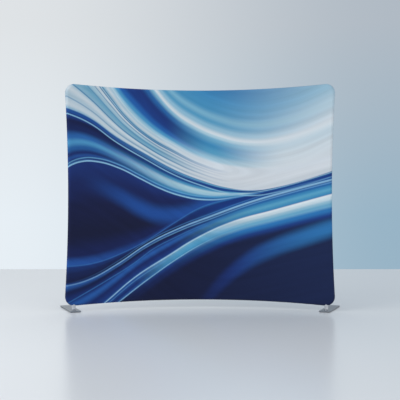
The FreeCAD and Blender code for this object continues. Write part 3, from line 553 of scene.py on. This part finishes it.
# Fine lines drawn along the waves: pale ones on the dark parts, teal ones on the ribbon.
for over, lift, code, strength, low, high in (
    (strand_foot, 0.000, "8cc0e0", 0.9, 0.62, 0.44), (strand, 0.000, "a9d3ea", 0.9, 0.70, 0.40),
    (strand, -0.016, "5f9fd0", 0.5, 0.60, 0.40), (soft_fold, 0.000, "3f80c2", 0.6, 0.70, 0.50),
    (fold, 0.000, "8fc0e2", 0.9, -0.2, 0.25), (fold, -0.012, "6fa8d6", 0.7, 0.1, 0.40),
    (fold, 0.012, "4f8cc8", 0.5, 0.0, 0.30), (fold_top, 0.000, "3f7cc0", 0.5, 1.1, 0.50),
    (thin, 0.003, "9ccbe6", 0.9, 0.75, 0.50), (thin, 0.018, "6fb0da", 0.7, 0.75, 0.50),
    (low_edge, -0.024, "8fc4e2", 0.9, 1.2, 0.60), (low_edge, -0.010, "1f5298", 0.7, 1.2, 0.90),
):
    moved = add(tree, "Math", {0: over, 1: lift}, operation="SUBTRACT").outputs[0]
    shown = add(tree, "MapRange", {0: width, 1: low, 2: high, 3: 0.0, 4: strength}).outputs[0]
    colour = paint(colour, code, times(streak(moved, 0.0006, 0.0042), shown))
for part, strength in ((0.13, 0.5), (0.31, 0.8), (0.47, 0.5), (0.60, 0.6), (0.70, 0.9), (0.76, 0.8)):
    line = add(tree, "Mix", {0: part, 2: low_edge, 3: high_edge}).outputs[0]
    fade = add(tree, "MapRange", {0: width, 1: 0.34, 2: 0.62, 3: strength, 4: 0.0}).outputs[0]
    colour = paint(colour, "1f78aa", times(streak(line, 0.0008, 0.005), fade))

# Silk-like streaks all along the waves, so that no band is one flat colour.
flow = add(tree, "Mix", {0: ramp(width, 0.2, 0.8), 2: low_edge, 3: fold}).outputs[0]
flow = add(tree, "Mix", {0: ramp(sky_edge, -0.16, 0.0), 2: flow, 3: sky_edge}).outputs[0]
flat = add(tree, "CombineXYZ", {0: add(tree, "Math", {0: width, 1: 1.2}, operation="MULTIPLY")
                                .outputs[0], 1: times(flow, 34.0)})
silk = add(tree, "TexNoise", {"Vector": flat.outputs[0], "Scale": 1.0, "Detail": 3.0})
shade = add(tree, "MapRange", {0: silk.outputs[0], 1: 0.3, 2: 0.7, 3: 0.92, 4: 1.08}).outputs[0]
lit = add(tree, "HueSaturation", {"Value": shade, "Color": colour})
tree.links.new(lit.outputs[0], shader.inputs["Base Color"])

# Knit of the cloth: fine ribs both ways. A wave texture has 20 / (2 pi) ribs a metre for each
# unit of scale, so this is one rib in about half a millimetre.
KNIT_SCALE = 600.0
ribs = add(tree, "TexWave", {"Vector": place, "Scale": KNIT_SCALE}, bands_direction="X")
rows = add(tree, "TexWave", {"Vector": place, "Scale": KNIT_SCALE}, bands_direction="Z")
knit = add(tree, "Math", {0: ribs.outputs["Fac"], 1: rows.outputs["Fac"]})
bump = add(tree, "Bump", {"Strength": 0.15, "Distance": 0.0002, "Height": knit.outputs[0]})
tree.links.new(bump.outputs[0], shader.inputs["Normal"])
for sheet in (cover_front, cover_back):
    sheet.data.materials.append(print_cloth)
    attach(sheet, "frame")

# Zip: a coil of nylon teeth along the tape on the lower back edge, left and right in turn, and
# a row of stitches down each side of the tape that holds it to the cover.
low_back = bow_back * FLIP_Z
plumb = np.array([0, low_back[2], -low_back[1]])
low_centre = path[0] * FLIP_Z + [0, 0, 2 * MIDDLE_Z] - low_back * rail_radius
ZIP_RUN = 1.120
ZIP_HALF = ZIP_RUN / rail_radius


def zip_place(angle):
    """A place on the tape's middle line, with the ways out of the tape and across it."""
    outward = math.sin(angle) * np.array([1, 0, 0]) + math.cos(angle) * low_back
    out = plumb * 0.5 + outward * math.sin(math.pi / 3)
    return low_centre + outward * rail_radius, out, outward * 0.5 - plumb * math.sin(math.pi / 3)


TOOTH_PITCH, TOOTH_LONG, TOOTH_HIGH = 0.0026, 0.0018, 0.0020
TOOTH_FAR, TOOTH_NEAR, TOOTH_TAPER, TOOTH_FOOT = 0.0024, 0.0008, 0.0004, 0.0250
points, faces = [], []
for i in range(int(2 * ZIP_RUN / TOOTH_PITCH)):
    begin = -ZIP_HALF + (i + 0.2) * TOOTH_PITCH / rail_radius
    low, high = (-TOOTH_FAR, TOOTH_NEAR) if i % 2 else (-TOOTH_NEAR, TOOTH_FAR)
    for angle in (begin, begin + TOOTH_LONG / rail_radius):
        at, out, over = zip_place(angle)
        at = at + out * TOOTH_FOOT
        points += [at + over * low, at + over * high,
                   at + over * (high - TOOTH_TAPER) + out * TOOTH_HIGH,
                   at + over * (low + TOOTH_TAPER) + out * TOOTH_HIGH]
    base = i * 8
    faces += [[base + a, base + b, base + b + 4, base + a + 4]
              for a, b in ((0, 1), (1, 2), (2, 3), (3, 0))]
    faces += [[base + 3, base + 2, base + 1, base], [base + 4, base + 5, base + 6, base + 7]]
teeth = meshed("zip_teeth", points, faces, smooth=False)
# Moulded nylon monofilament: dark, smooth and a little shiny, uneven from tooth to tooth.
teeth_stuff, tree, shader = surface("nylon_coil", "1a2036", 0.35)
grain = add(tree, "TexNoise", {"Vector": add(tree, "TexCoord").outputs["Object"], "Scale": 700.0})
vary = add(tree, "MapRange", {0: grain.outputs[0], 3: 0.28, 4: 0.45})
tree.links.new(vary.outputs[0], shader.inputs["Roughness"])
teeth.data.materials.append(teeth_stuff)
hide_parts("zip_coil")
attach(teeth, "frame")
STITCH_OFFSET, STITCH_FOOT, STITCH_POINTS = 0.0062, 0.02485, 120
for side_name, offset in (("low", -STITCH_OFFSET), ("high", STITCH_OFFSET)):
    rows = [zip_place(angle) for angle in np.linspace(-ZIP_HALF, ZIP_HALF, STITCH_POINTS)]
    line = [at + out * STITCH_FOOT + over * offset for at, out, over in rows]
    threads.append(stitched("zip_stitches_" + side_name, line, [row[1] for row in rows],
                            0.0032, 0.0016, 0.0009, 0.0005))

# Thread and hems: twisted polyester thread, a lighter blue with a soft shine and a fine diagonal
# twist, whose colour is darkened by painted shade in the twist's grooves and lightened by painted
# highlight on its crowns. The seam's rib and the rolled hems are in the cover's own printed cloth.
THREAD_BLUE = "3a4a78"
thread_stuff, tree, shader = surface("polyester_thread", THREAD_BLUE, 0.6, Sheen_Weight=0.3)
twist = add(tree, "TexWave", {"Vector": add(tree, "TexCoord").outputs["Object"], "Scale": 900.0},
            bands_direction="DIAGONAL")
# Painted shade and highlight: the twist's bands scale the thread's blue from 0.7 in the grooves to
# 1.2 on the crowns.
shade = add(tree, "MapRange", {0: twist.outputs["Fac"], 3: 0.7, 4: 1.2})
lit = add(tree, "HueSaturation", {"Value": shade.outputs[0], "Color": linear(THREAD_BLUE)})
tree.links.new(lit.outputs[0], shader.inputs["Base Color"])
bump = add(tree, "Bump", {"Strength": 0.4, "Distance": 0.0003, "Height": twist.outputs["Fac"]})
tree.links.new(bump.outputs[0], shader.inputs["Normal"])
for piece in welts + hems:
    piece.data.materials.append(print_cloth)
for piece in threads:
    piece.data.materials.append(thread_stuff)
for piece in welts + hems + threads:
    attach(piece, "frame")

# Welds: a bead of weld round the foot of each post, a little uneven along its length.
WELD_REACH, WELD_WOBBLE, WELD_RADIUS, WELD_LIFT, WELD_STEPS = 0.0196, 0.0002, 0.0015, 0.0002, 72
wobble = np.random.default_rng(7)
beads = []
for side_name, post in zip(("left", "right"), posts):
    plate_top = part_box(side_name + "_foot_plate")[1].z
    ring = []
    for step in range(WELD_STEPS):
        angle = 2 * math.pi * step / WELD_STEPS
        reach = WELD_REACH + WELD_WOBBLE * wobble.standard_normal()
        ring.append((post.x + reach * math.cos(angle), post.y + reach * math.sin(angle),
                     plate_top + WELD_LIFT))
    bead = piped("post_weld_" + side_name, ring, WELD_RADIUS)
    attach(bead, side_name + "_foot")
    beads.append(bead)

# Metal, rubber and cloth of the frame, the feet and the zip, given to the shown CAD nodes. The
# grain that they all get is finer than a millimetre and only breaks up the shine.
finishes = {
    # Drawn tube: a pale, soft shine.
    "tube_aluminium": surface("drawn_aluminium", "c3c6ca", 0.32, Metallic=1.0),
    # Castings, left as they come from the mould: duller and a little darker than the tube.
    "cast_aluminium": surface("cast_aluminium", "b4b7ba", 0.45, Metallic=1.0),
    # Turned and tumbled steel: bright.
    "button_steel": surface("bright_steel", "c9cacc", 0.2, Metallic=1.0),
    # Tempered strip: dark grey with a shine.
    "spring_steel": surface("spring_steel", "7c7f84", 0.3, Metallic=1.0),
    # Zinc plating: mid grey and satin.
    "bolt_steel": surface("zinc_plated_steel", "a7a9ad", 0.35, Metallic=1.0),
    # Polished chrome plating: mirrors the floor and the cover.
    "post_chrome": surface("polished_chrome", "d4d5d8", 0.12, Metallic=1.0),
    # Satin plated plate steel: blue grey, with a broad soft reflection.
    "foot_steel": surface("satin_plated_steel", "8b9097", 0.34, Metallic=0.8),
    # Moulded rubber: black and matt.
    "foot_rubber": surface("black_rubber", "141414", 0.8),
    # Woven tape: dark blue and matt.
    "zip_tape": surface("woven_polyester_tape", "1b2440", 0.85),
    # Plated die casting: pale and shiny.
    "zip_metal": surface("plated_zinc", "b8babf", 0.25, Metallic=1.0),
}
for material, tree, shader in finishes.values():
    place = add(tree, "TexCoord").outputs["Object"]
    grain = add(tree, "TexNoise", {"Vector": place, "Scale": 400.0, "Detail": 4.0})
    rough = shader.inputs["Roughness"].default_value
    vary = add(tree, "MapRange", {0: grain.outputs[0], 3: rough - 0.06, 4: rough + 0.08})
    tree.links.new(vary.outputs[0], shader.inputs["Roughness"])
    bump = add(tree, "Bump", {"Strength": 0.1, "Distance": 0.0002, "Height": grain.outputs[0]})
    tree.links.new(bump.outputs[0], shader.inputs["Normal"])
for bead in beads:
    bead.data.materials.append(finishes["foot_steel"][0])
slot_of = {part["node"]: part["material_slot"] for part in frame["record"]["subparts"]}
for name, node in frame["nodes"].items():
    if slot_of[name] in finishes:
        node.data.materials.clear()
        node.data.materials.append(finishes[slot_of[name]][0])

# Floor: smooth pale screed with a soft shine, that ends a few metres behind the wall.
FLOOR_SIZE, FLOOR_END = 60.0, 4.6
floor_stuff, tree, shader = surface("pale_sealed_screed", "f4f5f6", 0.24)
bpy.ops.mesh.primitive_plane_add(size=FLOOR_SIZE, location=(0, FLOOR_END - FLOOR_SIZE / 2, 0))
floor = bpy.context.object
floor.name = "floor"
floor.data.materials.append(floor_stuff)

# Light: a pale surround, behind the wall brighter on the left and bluer on the right, a large
# soft lamp high on the left and a weaker one on the right.
world = bpy.data.worlds.new("surround")
world.use_nodes = True
tree = world.node_tree
way = add(tree, "SeparateXYZ", {0: add(tree, "TexCoord").outputs["Generated"]})
aside = add(tree, "MapRange", {0: way.outputs["X"], 1: -0.26, 2: 0.26},
            interpolation_type="SMOOTHSTEP").outputs[0]
upward = add(tree, "MapRange", {0: way.outputs["Z"], 1: -0.02, 2: 0.22}).outputs[0]
low_sky = add(tree, "Mix", {0: aside, 6: linear("e7eff5"), 7: linear("98b4c6")}, data_type="RGBA")
high_sky = add(tree, "Mix", {0: aside, 6: linear("dfe3e6"), 7: linear("b0bac4")}, data_type="RGBA")
sky_light = add(tree, "Mix", {0: upward, 6: low_sky.outputs[2], 7: high_sky.outputs[2]},
                data_type="RGBA")
ahead = add(tree, "MapRange", {0: way.outputs["Y"], 1: 0.75, 2: 0.93},
            interpolation_type="SMOOTHSTEP").outputs[0]
whole_sky = add(tree, "Mix", {0: ahead, 6: linear("cdd3d9"), 7: sky_light.outputs[2]},
                data_type="RGBA")
tree.links.new(whole_sky.outputs[2], tree.nodes["Background"].inputs[0])
bpy.context.scene.world = world
bpy.context.scene.view_settings.view_transform = "Standard"
for name, spot, aim, size, power in (
    ("lamp_left", (-5.0, -4.0, 4.5), (0, 0, 1.1), 4.0, 130),
    ("lamp_right", (4.5, -5.5, 3.5), (0, 0, 1.1), 4.0, 25),
):
    lamp = bpy.data.objects.new(name, bpy.data.lights.new(name, "AREA"))
    lamp.data.size = size
    lamp.data.energy = power
    lamp.location = spot
    lamp.rotation_euler = (Vector(aim) - Vector(spot)).to_track_quat("-Z", "Y").to_euler()
    bpy.context.scene.collection.objects.link(lamp)

# Camera: level, at chest height, straight in front of the wall.
eye = bpy.data.objects.new("camera", bpy.data.cameras.new("camera"))
EYE_DISTANCE, EYE_HEIGHT = 7.75, 1.127
eye.data.lens = 69.1
eye.location = (0, END_Y - EYE_DISTANCE, EYE_HEIGHT)
eye.rotation_euler = (math.pi / 2, 0, 0)
bpy.context.scene.collection.objects.link(eye)
bpy.context.scene.camera = eye
